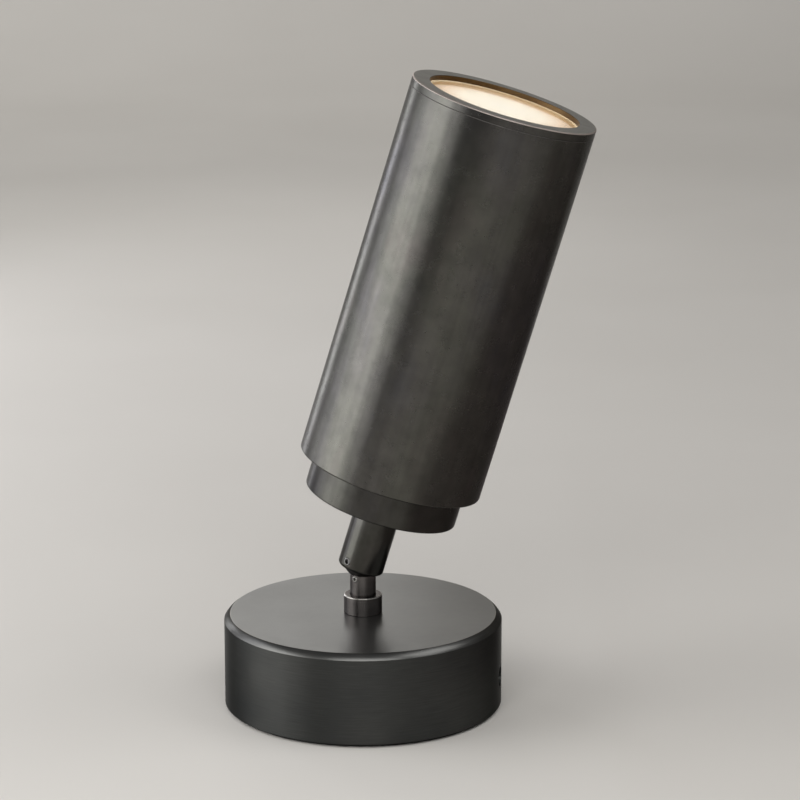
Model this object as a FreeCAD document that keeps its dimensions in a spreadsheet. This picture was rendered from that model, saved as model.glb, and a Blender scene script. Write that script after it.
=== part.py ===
# Tabletop searchlight lamp: weighted round base, turning stem, ball swivel, tubular head.
# Millimetres. The origin is the middle of the base's underside and +Z is up.
# The head leans towards +X; the head's pieces are drawn upright about the ball's centre
# and are then set on the lean.
import FreeCAD, Part
import math
import os
import Sketcher
from FreeCAD import Placement, Rotation, Vector

UP = Vector(0, 0, 1)

# name, millimetres or degrees, what it measures
SIZES = [
    ("base_radius", 57.15, "outside of the base"),
    ("base_height", 39.1, "underside to top face"),
    ("base_chamfer", 2.5, "bevel at the base's top edge"),
    ("foot_height", 1.2, "rubber pad under the base"),
    ("foot_radius", 54.5, "rubber pad, set in from the side"),
    ("shell_inner", 52.15, "inside of the base's wall"),
    ("shell_ceiling", 34.1, "underside of the base's top"),
    ("plate_radius", 52.05, "closing plate"),
    ("plate_top", 3.7, "top face of the closing plate"),
    ("boss_circle", 45.0, "radius of the screw bosses' circle"),
    ("boss_radius", 4.5, "outside of a screw boss"),
    ("plate_screw_radius", 2.0, "plate screw's shank"),
    ("plate_screw_head", 4.0, "plate screw's head"),
    ("plate_screw_top", 14.0, "plate screw's tip"),
    ("ballast_inner", 15.0, "hole in the ballast"),
    ("ballast_outer", 39.5, "outside of the ballast"),
    ("ballast_low", 21.0, "underside of the ballast"),
    ("ballast_screw_circle", 28.0, "radius of the ballast screws' circle"),
    ("ballast_screw_radius", 2.0, "ballast screw's shank"),
    ("ballast_screw_head", 3.5, "ballast screw's head"),
    ("ballast_head_height", 3.4, "ballast screw's head height"),
    ("ballast_screw_top", 37.3, "ballast screw's tip"),
    ("inlet_height", 14.0, "cord inlet above the table"),
    ("inlet_azimuth", -9.0, "cord inlet, degrees from +X"),
    ("inlet_radius", 4.2, "hole in the base's wall"),
    ("bush_radius", 4.15, "bush in the wall"),
    ("bush_bore", 2.6, "bush's hole for the cord"),
    ("bush_flange", 6.2, "bush's inner flange"),
    ("bush_start", 48.0, "bush's inner end from the middle"),
    ("bush_shoulder", 51.75, "bush's flange face"),
    ("bush_end", 54.8, "bush's outer end, sunk in the wall"),
    ("switch_height", 13.5, "switch axis above the table"),
    ("switch_seat", 56.3, "flat for the switch's flange"),
    ("switch_flange_radius", 8.0, "switch's flange"),
    ("switch_face", 57.9, "outer face of the switch's flange"),
    ("switch_bushing", 6.0, "threaded part of the switch"),
    ("switch_shoulder", 47.0, "front of the switch's housing"),
    ("switch_housing", 6.9, "housing radius"),
    ("switch_back", 36.0, "back of the switch's housing"),
    ("switch_bore", 4.6, "hole for the button"),
    ("switch_cavity", 5.3, "room for the button's flange"),
    ("switch_lip", 54.0, "step that keeps the button in"),
    ("spring_floor", 44.0, "where the button's spring stands"),
    ("button_radius", 4.52, "push button"),
    ("button_end", 60.5, "button's outer end"),
    ("button_flange", 5.2, "button's flange"),
    ("button_low", 52.4, "button's inner end"),
    ("button_step", 53.9, "button's flange face"),
    ("nut_face", 51.4, "switch nut's face on the wall"),
    ("nut_back", 48.6, "switch nut's inner face"),
    ("driver_long", 46.0, "driver box along Y"),
    ("driver_wide", 30.0, "driver box along X"),
    ("driver_high", 12.5, "driver box height"),
    ("driver_x", -22.0, "driver box middle"),
    ("driver_ear", 6.0, "fixing ear's reach"),
    ("driver_ear_high", 2.0, "fixing ear's thickness"),
    ("terminal_x", 24.0, "terminal block middle"),
    ("terminal_y", -6.0, "terminal block middle"),
    ("terminal_wide", 14.0, "terminal block along X"),
    ("terminal_long", 26.0, "terminal block along Y"),
    ("terminal_high", 12.0, "terminal block height"),
    ("collar_radius", 7.85, "collar"),
    ("collar_top", 46.9, "collar's top rim"),
    ("collar_step", 42.0, "shoulder inside the collar"),
    ("collar_bore", 5.35, "upper bore"),
    ("collar_low_bore", 4.55, "lower bore"),
    ("collar_shank", 6.5, "threaded shank through the base's top"),
    ("collar_low", 26.0, "shank's lower end"),
    ("collar_nut_low", 30.1, "underside of the collar's nut"),
    ("stem_radius", 5.3, "stem"),
    ("stem_step", 42.05, "stem's shoulder"),
    ("stem_spigot", 4.5, "stem inside the lower bore"),
    ("stem_low", 20.0, "stem's lower end"),
    ("stem_bore", 3.35, "upper hole in the stem"),
    ("stem_lead_bore", 2.6, "lower hole in the stem"),
    ("stem_bore_floor", 44.5, "where the hole narrows"),
    ("stem_top", 55.508, "stem's top end, under the ball"),
    ("washer_top", 25.95, "drag washer's top"),
    ("washer_low", 24.9, "drag washer's underside"),
    ("washer_radius", 8.0, "drag washer"),
    ("stem_nut_low", 20.9, "stem nut's underside"),
    ("stem_screw_height", 54.1, "grub screw in the stem"),
    ("stem_screw_radius", 1.2, "grub screw in the stem"),
    ("stem_screw_azimuth", -129.0, "grub screw in the stem, degrees from +X"),
    ("pivot_height", 61.5, "ball's centre above the table"),
    ("ball_radius", 8.0, "ball"),
    ("ball_shank", 3.3, "ball's shank in the stem"),
    ("ball_shank_low", 45.0, "shank's lower end"),
    ("ball_bore", 1.9, "hole through the ball"),
    ("seat_radius", 8.05, "spherical seats and the knuckle's bore"),
    ("lean_angle", 16.65, "head's lean from upright, degrees"),
    ("lean_azimuth", -5.2, "direction of the lean, degrees from +X"),
    ("knuckle_radius", 9.5, "knuckle"),
    ("knuckle_low", -4.0, "knuckle's mouth, from the ball's centre"),
    ("knuckle_round", 1.5, "rounding at the mouth"),
    ("lip_height", -2.6, "retaining lip, from the ball's centre"),
    ("lip_radius", 7.62, "retaining lip"),
    ("mouth_radius", 8.7, "flare at the mouth"),
    ("ball_seat_radius", 7.95, "seat above the ball"),
    ("ball_seat_low", 3.5, "seat's lower end"),
    ("ball_seat_top", 9.5, "seat's upper end"),
    ("ball_seat_bore", 3.6, "seat's hole"),
    ("disc_inner", 4.2, "hole in a disc spring"),
    ("disc_outer", 7.9, "outside of a disc spring"),
    ("disc_thick", 0.8, "disc spring's thickness"),
    ("disc_rise", 0.575, "disc spring's cone height"),
    ("lock_screw_radius", 1.65, "grub screw in the knuckle"),
    ("lock_screw_azimuth", -133.0, "grub screw in the knuckle, degrees from +X before the lean"),
    ("lock_screw_height", -0.6, "grub screw in the knuckle, from the ball's centre"),
    ("nipple_plug", 8.0, "nipple in the knuckle"),
    ("nipple_low", 15.0, "nipple's lower end"),
    ("nipple_stud", 5.0, "nipple through the cap"),
    ("nipple_top", 34.0, "nipple's upper end"),
    ("nipple_bore", 3.0, "lead hole"),
    ("cap_low", 25.5, "underside of the rear cap"),
    ("cap_radius", 31.7, "rear cap"),
    ("cap_floor", 28.5, "inside of the rear cap's floor"),
    ("cap_inner", 28.0, "inside of the rear cap"),
    ("cap_spigot", 30.5, "thread into the tube"),
    ("cap_top", 48.0, "end of that thread"),
    ("cap_hole", 5.05, "hole for the nipple"),
    ("cap_nut_top", 32.5, "top of the nipple's nut"),
    ("edge_round", 0.6, "rounding on the head's lower rims"),
    ("tube_low", 39.5, "lower rim of the tube"),
    ("tube_radius", 38.0, "tube"),
    ("tube_inner", 35.5, "inside of the tube"),
    ("tube_floor", 43.0, "inside of the tube's end wall"),
    ("tube_hole", 30.55, "hole for the cap's thread"),
    ("ledge_low", 90.0, "underside of the heat sink's ledge"),
    ("ledge_top", 95.0, "top of the ledge"),
    ("ledge_inner", 29.5, "inside of the ledge"),
    ("seam_height", 195.3, "seam between tube and front ring"),
    ("seam_bevel", 0.18, "bevels that make the seam groove"),
    ("front_height", 198.7, "front face"),
    ("ring_hole", 30.9, "opening at the front"),
    ("ring_lip_low", 196.7, "underside of the ring's lip"),
    ("ring_inner", 34.2, "inside of the ring"),
    ("ring_thread", 35.4, "thread into the tube"),
    ("ring_low", 187.0, "end of that thread"),
    ("ring_bevel", 0.5, "outer bevel at the front"),
    ("hole_bevel", 0.3, "bevel around the opening"),
    ("lens_radius", 34.0, "glass, diffuser, gasket and reflector rim"),
    ("lens_low", 194.9, "back of the glass"),
    ("diffuser_low", 193.1, "back of the diffuser"),
    ("gasket_low", 191.6, "back of the gasket"),
    ("gasket_inner", 31.5, "inside of the gasket"),
    ("reflector_rim_low", 190.4, "back of the reflector's rim"),
    ("reflector_low", 138.5, "reflector's neck"),
    ("reflector_neck", 8.0, "inside of the neck"),
    ("reflector_mouth", 32.3, "inside of the mouth"),
    ("reflector_wall", 1.2, "sheet thickness"),
    ("retaining_inner", 33.3, "inside of the retaining ring"),
    ("retaining_outer", 34.15, "outside of the retaining ring"),
    ("retaining_low", 187.6, "back of the retaining ring"),
    ("sink_plate_radius", 34.8, "heat sink's mounting plate"),
    ("sink_plate_top", 99.0, "top of that plate"),
    ("sink_core", 14.0, "heat sink's core"),
    ("sink_core_top", 134.0, "top of the core"),
    ("fin_reach", 33.0, "fins' outer radius"),
    ("fin_thick", 2.0, "fin thickness"),
    ("fin_top", 131.0, "top of the fins"),
    ("sink_bore", 2.5, "lead hole"),
    ("sink_screw_circle", 32.0, "radius of the heat sink screws' circle"),
    ("sink_screw_radius", 1.5, "heat sink screw's shank"),
    ("sink_screw_head", 2.75, "heat sink screw's head"),
    ("sink_screw_low", 91.0, "heat sink screw's tip"),
    ("sink_screw_top", 101.2, "top of its head"),
    ("board_radius", 13.5, "board under the light source"),
    ("board_top", 135.6, "top of the board"),
    ("board_screw_circle", 10.8, "radius of the board screws' circle"),
    ("board_screw_radius", 1.25, "board screw's shank"),
    ("board_screw_head", 2.1, "board screw's head"),
    ("board_screw_low", 130.0, "board screw's tip"),
    ("board_screw_top", 137.0, "top of its head"),
    ("emitter_radius", 6.0, "light source"),
    ("emitter_top", 137.2, "top of the light source"),
]
size = {name: value for name, value, words in SIZES}
FIN_COUNT = 12

doc = FreeCAD.newDocument("searchlight_lamp")
sheet = doc.addObject("Spreadsheet::Sheet", "dims")
for row, (name, value, words) in enumerate(SIZES, start=1):
    sheet.set("A%d" % row, words)
    sheet.set("B%d" % row, str(value))
    sheet.setAlias("B%d" % row, name)
doc.recompute()

pieces = {}


def number(words):
    """The value of a sum of size names and plain numbers, such as 'a + b - 2'."""
    total = 0.0
    sign = 1.0
    for token in words.split():
        if token in "+-":
            sign = 1.0 if token == "+" else -1.0
        else:
            total += sign * size[token] if token in size else sign * float(token)
            sign = 1.0
    return total


def expression(words):
    """The same sum, written for the sheet."""
    return " ".join("dims." + token if token in size else token for token in words.split())


def new_body(label):
    body = doc.addObject("PartDesign::Body", label)
    body.Label = label
    return body


def closed_sketch(body, role, corners):
    """A closed outline on one of the body's own planes, every corner held by the sheet."""
    plane = [item for item in body.Origin.OriginFeatures if item.Role == role][0]
    sketch = body.newObject("Sketcher::SketchObject", "outline")
    sketch.AttachmentSupport = [(plane, "")]
    sketch.MapMode = "FlatFace"
    points = [Vector(number(x), number(y), 0) for x, y in corners]
    count = len(points)
    for i in range(count):
        sketch.addGeometry(Part.LineSegment(points[i], points[(i + 1) % count]), False)
    for i in range(count):
        sketch.addConstraint(Sketcher.Constraint("Coincident", i, 2, (i + 1) % count, 1))
    for i, (x, y) in enumerate(corners):
        for kind, words, axis in (("DistanceX", x, -2), ("DistanceY", y, -1)):
            if abs(number(words)) < 1e-9:
                sketch.addConstraint(Sketcher.Constraint("PointOnObject", i, 1, axis))
                continue
            place = sketch.addConstraint(Sketcher.Constraint(kind, -1, 1, i, 1, number(words)))
            if expression(words) != words:
                sketch.setExpression("Constraints[%d]" % place, expression(words))
    return sketch


def turned(label, corners):
    """A round piece: corners are (radius, height) of half its section."""
    body = new_body(label)
    profile = closed_sketch(body, "XZ_Plane", corners)
    solid = body.newObject("PartDesign::Revolution", "turning")
    solid.Profile = profile
    solid.ReferenceAxis = (profile, ["V_Axis"])
    solid.Angle = 360
    doc.recompute()
    return body


def primitive(body, kind, bound, position, direction=UP, spin=0.0):
    """An added or cut primitive, its sizes held by the sheet, along a direction."""
    item = body.newObject("PartDesign::" + kind, kind)
    for field, words in bound.items():
        setattr(item, field, number(words))
        if expression(words) != words:
            item.setExpression(field, expression(words))
    turn = Rotation(UP, direction).multiply(Rotation(UP, spin))
    item.Placement = Placement(position, turn)
    doc.recompute()
    return item


def around(radius, degrees, height):
    angle = math.radians(degrees)
    return Vector(radius * math.cos(angle), radius * math.sin(angle), height)


def circle_edges(shape, radius, height):
    names = []
    for i, edge in enumerate(shape.Edges, start=1):
        curve = edge.Curve
        if not hasattr(curve, "Radius") or not hasattr(curve, "Center"):
            continue
        if abs(curve.Radius - radius) < 1e-4 and abs(curve.Center.z - height) < 1e-4:
            names.append("Edge%d" % i)
    return names


def soften(body, kind, field, words, radius, height):
    """A fillet or chamfer on the round edge of that radius and height."""
    base = body.Tip
    item = body.newObject("PartDesign::" + kind, kind)
    item.Base = (base, circle_edges(base.Shape, number(radius), number(height)))
    setattr(item, field, number(words))
    if expression(words) != words:
        item.setExpression(field, expression(words))
    body.Tip = item
    doc.recompute()


def hex_socket(body, radius, depth, position, direction):
    primitive(body, "SubtractivePrism", {"Circumradius": radius, "Height": depth}, position, direction)


def coil(label, radius, wire, low, high, turns):
    """A helical spring about the Z axis, bent from arcs of a quarter turn."""
    rise = high - low - 2.0 * wire

    def spot(quarter):
        angle = math.pi / 2 * quarter
        height = low + wire + rise * quarter / (4.0 * turns)
        return Vector(radius * math.cos(angle), radius * math.sin(angle), height)

    arcs = [Part.Arc(spot(i), spot(i + 0.5), spot(i + 1)).toShape() for i in range(4 * turns)]
    start = arcs[0].tangentAt(arcs[0].FirstParameter)
    circle = Part.Wire([Part.makeCircle(wire, spot(0), start)])
    spring = doc.addObject("Part::Feature", label)
    spring.Shape = Part.Wire(arcs).makePipeShell([circle], True, False)
    spring.Label = label
    return spring


def group(label, master, spots):
    """Copies of one fastener as one piece."""
    links = []
    for i, spot in enumerate(spots):
        link = doc.addObject("App::Link", "%s_%d" % (label, i + 1))
        link.LinkedObject = master
        link.Placement = spot
        links.append(link)
    bundle = doc.addObject("Part::Compound", label)
    bundle.Links = links
    bundle.Label = label
    doc.recompute()
    pieces[label] = bundle
    return bundle


def lean(item):
    """Sets a head piece on the lean, about the ball's centre."""
    angle = math.radians(size["lean_azimuth"])
    hinge = Vector(-math.sin(angle), math.cos(angle), 0)
    item.Placement = Placement(Vector(0, 0, size["pivot_height"]), Rotation(hinge, size["lean_angle"]))
    item.setExpression("Placement.Base.z", "dims.pivot_height")
    doc.recompute()


# Base shell: a cup, open below, with four screw bosses, the cord hole and a flat for the switch
base_shell = turned("base_shell", [
    ("collar_shank + 0.05", "base_height"),
    ("base_radius - base_chamfer", "base_height"),
    ("base_radius", "base_height - base_chamfer"),
    ("base_radius", "foot_height + 0.5"),
    ("base_radius - 0.5", "foot_height"),
    ("shell_inner", "foot_height"),
    ("shell_inner", "shell_ceiling"),
    ("collar_shank + 0.05", "shell_ceiling"),
])
BOSS_ANGLES = (45, 135, 225, 315)
for angle in BOSS_ANGLES:
    primitive(base_shell, "AdditiveCylinder",
              {"Radius": "boss_radius", "Height": "shell_ceiling - plate_top + 0.5"},
              around(size["boss_circle"], angle, size["plate_top"]))
for angle in BOSS_ANGLES:
    primitive(base_shell, "SubtractiveCylinder",
              {"Radius": "plate_screw_radius", "Height": "plate_screw_top - plate_top + 2"},
              around(size["boss_circle"], angle, size["plate_top"]))
BALLAST_ANGLES = (0, 120, 240)
for angle in BALLAST_ANGLES:
    primitive(base_shell, "SubtractiveCylinder",
              {"Radius": "ballast_screw_radius", "Height": "ballast_screw_top - shell_ceiling + 0.3"},
              around(size["ballast_screw_circle"], angle, size["shell_ceiling"]))
inlet_way = around(1.0, size["inlet_azimuth"], 0.0)
inlet_start = inlet_way * 45.0 + Vector(0, 0, size["inlet_height"])
primitive(base_shell, "SubtractiveCylinder", {"Radius": "inlet_radius", "Height": "20"},
          inlet_start, inlet_way)
REAR = Vector(0, 1, 0)
primitive(base_shell, "SubtractiveCylinder", {"Radius": "switch_bushing + 0.05", "Height": "20"},
          Vector(0, 45, size["switch_height"]), REAR)
primitive(base_shell, "SubtractiveCylinder", {"Radius": "switch_flange_radius + 0.3", "Height": "5"},
          Vector(0, size["switch_seat"], size["switch_height"]), REAR)
pieces["base_shell"] = base_shell

# Foot pad with a hole under each plate screw
foot_pad = turned("foot_pad", [
    ("0", "0"), ("foot_radius", "0"), ("foot_radius", "foot_height"), ("0", "foot_height")])
for angle in BOSS_ANGLES:
    primitive(foot_pad, "SubtractiveCylinder", {"Radius": "plate_screw_head + 0.4", "Height": "3"},
              around(size["boss_circle"], angle, -1.0))
pieces["foot_pad"] = foot_pad

# Closing plate with countersunk holes, and two small holes for the driver's screws
base_plate = turned("base_plate", [
    ("0", "foot_height"), ("plate_radius", "foot_height"),
    ("plate_radius", "plate_top"), ("0", "plate_top")])
for angle in BOSS_ANGLES:
    spot = around(size["boss_circle"], angle, size["foot_height"])
    primitive(base_plate, "SubtractiveCone",
              {"Radius1": "plate_screw_head + 0.05", "Radius2": "plate_screw_radius + 0.05", "Height": "2"}, spot)
    primitive(base_plate, "SubtractiveCylinder",
              {"Radius": "plate_screw_radius + 0.05", "Height": "5"}, spot)
DRIVER_EAR_Y = size["driver_long"] / 2 + size["driver_ear"] / 2
for side in (-1, 1):
    primitive(base_plate, "SubtractiveCylinder", {"Radius": "1.5", "Height": "5"},
              Vector(size["driver_x"], side * DRIVER_EAR_Y, size["foot_height"] + 0.4))
pieces["base_plate"] = base_plate

# One countersunk plate screw, point up, with its socket in the head below
plate_screw = turned("plate_screw", [
    ("0", "0"), ("plate_screw_head", "0"), ("plate_screw_radius", "2"),
    ("plate_screw_radius", "plate_screw_top - foot_height"), ("0", "plate_screw_top - foot_height")])
hex_socket(plate_screw, "1.4", "1.3", Vector(0, 0, 0), UP)
group("plate_screws", plate_screw,
      [Placement(around(size["boss_circle"], angle, size["foot_height"]), Rotation()) for angle in BOSS_ANGLES])

# Ballast ring and its screws
ballast = turned("ballast_weight", [
    ("ballast_inner", "ballast_low"), ("ballast_outer - 1", "ballast_low"),
    ("ballast_outer", "ballast_low + 1"), ("ballast_outer", "shell_ceiling"),
    ("ballast_inner", "shell_ceiling")])
for angle in BALLAST_ANGLES:
    primitive(ballast, "SubtractiveCylinder", {"Radius": "ballast_screw_radius + 0.1", "Height": "20"},
              around(size["ballast_screw_circle"], angle, size["ballast_low"] - 1))
pieces["ballast_weight"] = ballast
ballast_screw = turned("ballast_screw", [
    ("0", "0"), ("ballast_screw_head", "0"), ("ballast_screw_head", "ballast_head_height"),
    ("ballast_screw_radius", "ballast_head_height"),
    ("ballast_screw_radius", "ballast_screw_top - ballast_low + ballast_head_height"),
    ("0", "ballast_screw_top - ballast_low + ballast_head_height")])
hex_socket(ballast_screw, "1.7", "1.8", Vector(0, 0, 0), UP)
ballast_head_low = size["ballast_low"] - size["ballast_head_height"]
group("ballast_screws", ballast_screw,
      [Placement(around(size["ballast_screw_circle"], angle, ballast_head_low), Rotation())
       for angle in BALLAST_ANGLES])

# Cord bush: turned upright, then laid along the inlet's direction
bush = turned("cord_bush", [
    ("bush_bore", "bush_start"), ("bush_flange", "bush_start"), ("bush_flange", "bush_shoulder"),
    ("bush_radius", "bush_shoulder"), ("bush_radius", "bush_end"), ("bush_bore", "bush_end")])
bush.Placement = Placement(Vector(0, 0, size["inlet_height"]), Rotation(UP, inlet_way))
bush.setExpression("Placement.Base.z", "dims.inlet_height")
pieces["cord_bush"] = bush

# Push switch on the rear flat: housing with bushing, nut, button and its spring
switch_turn = Rotation(UP, REAR)


def to_rear(item):
    item.Placement = Placement(Vector(0, 0, size["switch_height"]), switch_turn)
    if item.TypeId == "PartDesign::Body":
        item.setExpression("Placement.Base.z", "dims.switch_height")


switch_body = turned("switch_body", [
    ("0", "switch_back"), ("switch_housing", "switch_back"), ("switch_housing", "switch_shoulder"),
    ("switch_bushing", "switch_shoulder"), ("switch_bushing", "switch_seat"),
    ("switch_flange_radius", "switch_seat"), ("switch_flange_radius", "switch_face - 0.4"),
    ("switch_flange_radius - 0.4", "switch_face"), ("switch_bore", "switch_face"),
    ("switch_bore", "switch_lip"), ("switch_cavity", "switch_lip"),
    ("switch_cavity", "spring_floor"), ("0", "spring_floor")])
for side in (-1, 1):
    primitive(switch_body, "AdditiveBox", {"Length": "0.8", "Width": "2.4", "Height": "4.5"},
              Vector(side * 3.0 - 0.4, -1.2, size["switch_back"] - 4.0))
to_rear(switch_body)
pieces["switch_body"] = switch_body
switch_nut = new_body("switch_nut")
primitive(switch_nut, "AdditivePrism", {"Circumradius": "8.6", "Height": "nut_face - nut_back"},
          Vector(0, 0, size["nut_back"]), UP, 30.0)
primitive(switch_nut, "SubtractiveCylinder", {"Radius": "switch_bushing + 0.02", "Height": "5"},
          Vector(0, 0, size["nut_back"] - 1))
to_rear(switch_nut)
pieces["switch_nut"] = switch_nut
switch_button = turned("switch_button", [
    ("0", "button_low"), ("button_flange", "button_low"), ("button_flange", "button_step"),
    ("button_radius", "button_step"), ("button_radius", "button_end - 0.6"),
    ("button_radius - 0.6", "button_end"), ("0", "button_end")])
to_rear(switch_button)
pieces["switch_button"] = switch_button
switch_spring = coil("switch_spring", 3.4, 0.35, size["spring_floor"], size["button_low"], 4)
to_rear(switch_spring)
pieces["switch_spring"] = switch_spring

# Driver box on the closing plate, with two fixing ears
driver = new_body("driver_box")
primitive(driver, "AdditiveBox", {"Length": "driver_wide", "Width": "driver_long", "Height": "driver_high"},
          Vector(size["driver_x"] - size["driver_wide"] / 2, -size["driver_long"] / 2, size["plate_top"]))
primitive(driver, "AdditiveBox", {"Length": "10", "Width": "driver_long + driver_ear + driver_ear",
                                  "Height": "driver_ear_high"},
          Vector(size["driver_x"] - 5, -size["driver_long"] / 2 - size["driver_ear"], size["plate_top"]))
for side in (-1, 1):
    primitive(driver, "SubtractiveCylinder", {"Radius": "1.6", "Height": "5"},
              Vector(size["driver_x"], side * DRIVER_EAR_Y, size["plate_top"] - 1))
    for x in (-10, 10):
        primitive(driver, "SubtractiveCylinder", {"Radius": "1.8", "Height": "4"},
                  Vector(size["driver_x"] + x, side * size["driver_long"] / 2, size["plate_top"] + 7),
                  Vector(0, -side, 0))
pieces["driver_box"] = driver
driver_screw = turned("driver_screw", [
    ("0", "0"), ("1.5", "0"), ("1.5", "4"), ("2.6", "4"), ("2.6", "5.4"), ("2.1", "5.9"), ("0", "5.9")])
hex_socket(driver_screw, "1.1", "1.2", Vector(0, 0, 4.7), UP)
driver_screw_low = size["plate_top"] + size["driver_ear_high"] - 4.0
group("driver_screws", driver_screw,
      [Placement(Vector(size["driver_x"], side * DRIVER_EAR_Y, driver_screw_low), Rotation())
       for side in (-1, 1)])

# Terminal block with lead holes from the side and screw wells from above
terminal = new_body("terminal_block")
terminal_corner = Vector(size["terminal_x"] - size["terminal_wide"] / 2,
                         size["terminal_y"] - size["terminal_long"] / 2, size["plate_top"])
primitive(terminal, "AdditiveBox",
          {"Length": "terminal_wide", "Width": "terminal_long", "Height": "terminal_high"}, terminal_corner)
for pole in range(3):
    row_y = terminal_corner.y + 5.0 + 8.0 * pole
    primitive(terminal, "SubtractiveCylinder", {"Radius": "1.7", "Height": "terminal_wide + 2"},
              Vector(terminal_corner.x - 1, row_y, size["plate_top"] + 4.5), Vector(1, 0, 0))
    for x in (3.5, 10.5):
        primitive(terminal, "SubtractiveCylinder", {"Radius": "2", "Height": "6"},
                  Vector(terminal_corner.x + x, row_y, size["plate_top"] + size["terminal_high"] - 4.5))
pieces["terminal_block"] = terminal

# Collar, screwed through the base's top, and its nut
collar = turned("collar", [
    ("collar_low_bore", "collar_low"), ("collar_shank", "collar_low"), ("collar_shank", "base_height"),
    ("collar_radius", "base_height"), ("collar_radius", "collar_top - 0.5"),
    ("collar_radius - 0.5", "collar_top"), ("collar_bore", "collar_top"),
    ("collar_bore", "collar_step"), ("collar_low_bore", "collar_step")])
pieces["collar"] = collar
collar_nut = new_body("collar_nut")
primitive(collar_nut, "AdditivePrism", {"Circumradius": "10.97", "Height": "shell_ceiling - collar_nut_low"},
          Vector(0, 0, size["collar_nut_low"]))
primitive(collar_nut, "SubtractiveCylinder", {"Radius": "collar_shank + 0.02", "Height": "6"},
          Vector(0, 0, size["collar_nut_low"] - 1))
pieces["collar_nut"] = collar_nut

# Stem with its shoulder and spigot; a cross hole near the top takes the grub screw
stem_screw_way = around(1.0, size["stem_screw_azimuth"], 0.0)
stem = turned("stem", [
    ("stem_lead_bore", "stem_low"), ("stem_spigot", "stem_low"), ("stem_spigot", "stem_step"),
    ("stem_radius", "stem_step"), ("stem_radius", "stem_top"), ("stem_bore", "stem_top"),
    ("stem_bore", "stem_bore_floor"), ("stem_lead_bore", "stem_bore_floor")])
primitive(stem, "SubtractiveCylinder", {"Radius": "stem_screw_radius + 0.05", "Height": "8"},
          Vector(0, 0, size["stem_screw_height"]), stem_screw_way)
pieces["stem"] = stem
stem_screw = turned("stem_screw", [
    ("0", "ball_shank + 0.02"), ("stem_screw_radius", "ball_shank + 0.02"),
    ("stem_screw_radius", "stem_radius - 0.05"), ("stem_screw_radius - 0.2", "stem_radius + 0.15"),
    ("0", "stem_radius + 0.15")])
hex_socket(stem_screw, "0.75", "1", Vector(0, 0, size["stem_radius"] - 0.85), UP)
stem_screw.Placement = Placement(Vector(0, 0, size["stem_screw_height"]), Rotation(UP, stem_screw_way))
pieces["stem_screw"] = stem_screw
pieces["pan_washer"] = turned("pan_washer", [
    ("stem_spigot + 0.05", "washer_low"), ("washer_radius", "washer_low"),
    ("washer_radius", "washer_top"), ("stem_spigot + 0.05", "washer_top")])
stem_nut = new_body("stem_nut")
primitive(stem_nut, "AdditivePrism", {"Circumradius": "7.5", "Height": "washer_low - stem_nut_low"},
          Vector(0, 0, size["stem_nut_low"]))
primitive(stem_nut, "SubtractiveCylinder", {"Radius": "stem_spigot + 0.02", "Height": "6"},
          Vector(0, 0, size["stem_nut_low"] - 1))
pieces["stem_nut"] = stem_nut

# Swivel ball: flat underneath where it stands on the stem, shank down the stem's hole
ball = new_body("swivel_ball")
primitive(ball, "AdditiveSphere", {"Radius": "ball_radius"}, Vector(0, 0, size["pivot_height"]))
primitive(ball, "SubtractiveCylinder", {"Radius": "ball_radius + 1", "Height": "5"},
          Vector(0, 0, size["stem_top"] - 5))
primitive(ball, "AdditiveCylinder", {"Radius": "ball_shank", "Height": "stem_top - ball_shank_low + 0.5"},
          Vector(0, 0, size["ball_shank_low"]))
primitive(ball, "SubtractiveCylinder", {"Radius": "ball_bore", "Height": "40"},
          Vector(0, 0, size["ball_shank_low"] - 2))
primitive(ball, "SubtractiveCone", {"Radius1": "ball_bore", "Radius2": "4.4", "Height": "3"},
          Vector(0, 0, size["pivot_height"] + size["ball_radius"] - 2.2))
pieces["swivel_ball"] = ball

# Knuckle: tube with a spherical seat and retaining lip at its mouth
knuckle = turned("knuckle", [
    ("lip_radius", "knuckle_low"), ("knuckle_radius", "knuckle_low"), ("knuckle_radius", "cap_low"),
    ("seat_radius", "cap_low"), ("seat_radius", "0"), ("lip_radius", "0")])
soften(knuckle, "Fillet", "Radius", "knuckle_round", "knuckle_radius", "knuckle_low")
primitive(knuckle, "SubtractiveSphere", {"Radius": "seat_radius"}, Vector(0, 0, 0))
primitive(knuckle, "SubtractiveCone",
          {"Radius1": "mouth_radius", "Radius2": "lip_radius", "Height": "lip_height - knuckle_low"},
          Vector(0, 0, size["knuckle_low"]))
lock_screw_way = around(1.0, size["lock_screw_azimuth"], 0.0)
primitive(knuckle, "SubtractiveCylinder", {"Radius": "lock_screw_radius + 0.05", "Height": "12"},
          Vector(0, 0, size["lock_screw_height"]), lock_screw_way)
pieces["knuckle"] = knuckle
lock_screw = turned("lock_screw", [
    ("0", "seat_radius + 0.05"), ("lock_screw_radius", "seat_radius + 0.05"),
    ("lock_screw_radius", "knuckle_radius - 0.05"), ("lock_screw_radius - 0.2", "knuckle_radius + 0.15"),
    ("0", "knuckle_radius + 0.15")])
hex_socket(lock_screw, "1.1", "1", Vector(0, 0, size["knuckle_radius"] - 0.85), UP)
local_turn = Rotation(UP, lock_screw_way)
tilt_turn = Rotation(around(1.0, size["lean_azimuth"] + 90.0, 0.0), size["lean_angle"])
lock_screw.Placement = Placement(
    Vector(0, 0, size["pivot_height"]) + tilt_turn.multVec(Vector(0, 0, size["lock_screw_height"])),
    tilt_turn.multiply(local_turn))
pieces["lock_screw"] = lock_screw
ball_seat = turned("ball_seat", [
    ("ball_seat_bore", "ball_seat_low"), ("ball_seat_radius", "ball_seat_low"),
    ("ball_seat_radius", "ball_seat_top"), ("ball_seat_bore", "ball_seat_top")])
primitive(ball_seat, "SubtractiveSphere", {"Radius": "seat_radius"}, Vector(0, 0, 0))
pieces["ball_seat"] = ball_seat
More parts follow.
